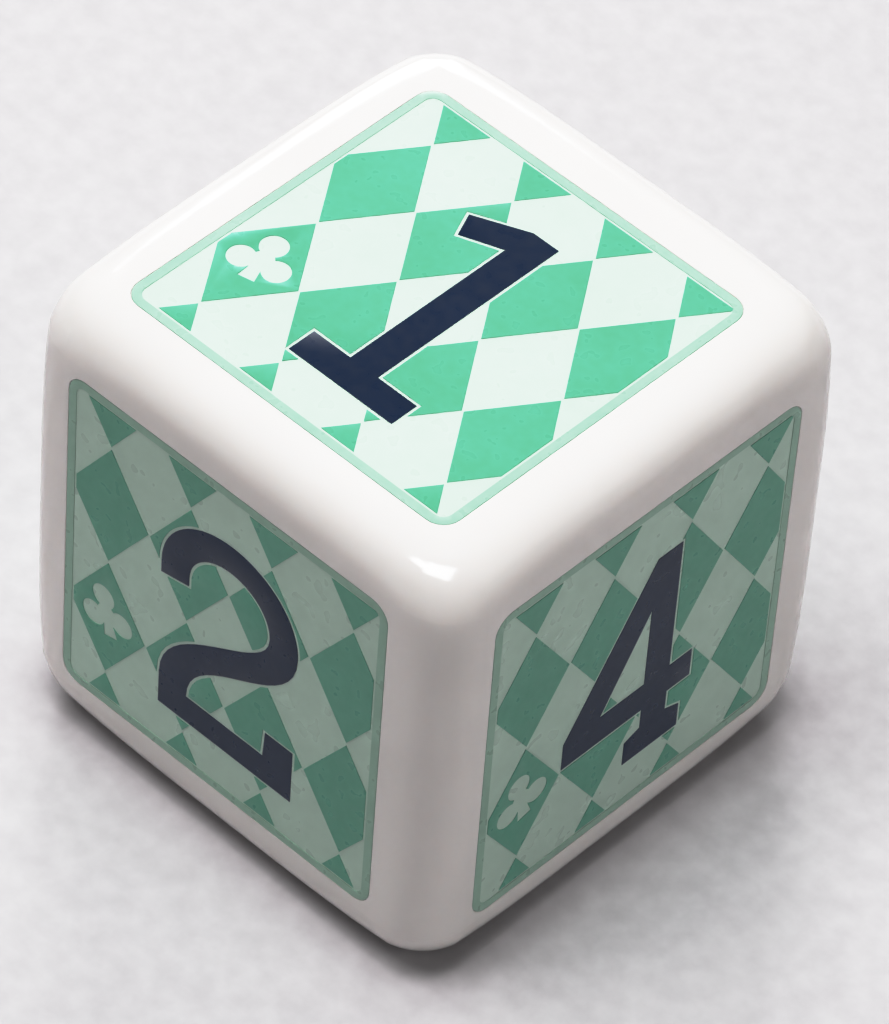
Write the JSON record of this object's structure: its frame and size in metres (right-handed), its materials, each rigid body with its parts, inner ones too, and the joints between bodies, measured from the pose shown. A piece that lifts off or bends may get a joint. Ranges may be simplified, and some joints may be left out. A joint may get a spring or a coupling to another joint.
{
  "type": "six-sided gaming die",
  "caption": "Moulded cube die with rounded edges; each face has a printed panel with a border line, lozenge pattern, club pip and numeral.",
  "frame": {"origin": "middle of the face that the die lies on (face six), at the bottom centre of the box round the part", "axes": "+Z out of face one, -Y out of face two, +X out of face four; -Z is face six, +Y face five, -X face three"},
  "size_m": [0.016, 0.016, 0.016],
  "materials": {
    "body_plastic": "glossy opaque warm white moulded plastic, softly polished",
    "pale_ground_ink": "thin printed coat, very pale green, satin",
    "light_green_ink": "printed mint green ink in a light tint, satin",
    "green_ink": "printed mint green ink, satin",
    "navy_ink": "printed dark navy ink, satin"
  },
  "bodies": {
    "root": {"die_body": "body_plastic", "ground_coat_one": "pale_ground_ink", "border_line_one": "light_green_ink", "lozenge_print_one": "green_ink", "numeral_one": "navy_ink", "ground_coat_two": "pale_ground_ink", "border_line_two": "light_green_ink", "lozenge_print_two": "green_ink", "numeral_two": "navy_ink", "ground_coat_three": "pale_ground_ink", "border_line_three": "light_green_ink", "lozenge_print_three": "green_ink", "numeral_three": "navy_ink", "ground_coat_four": "pale_ground_ink", "border_line_four": "light_green_ink", "lozenge_print_four": "green_ink", "numeral_four": "navy_ink", "ground_coat_five": "pale_ground_ink", "border_line_five": "light_green_ink", "lozenge_print_five": "green_ink", "numeral_five": "navy_ink", "ground_coat_six": "pale_ground_ink", "border_line_six": "light_green_ink", "lozenge_print_six": "green_ink", "numeral_six": "navy_ink"}
  },
  "joints": []
}
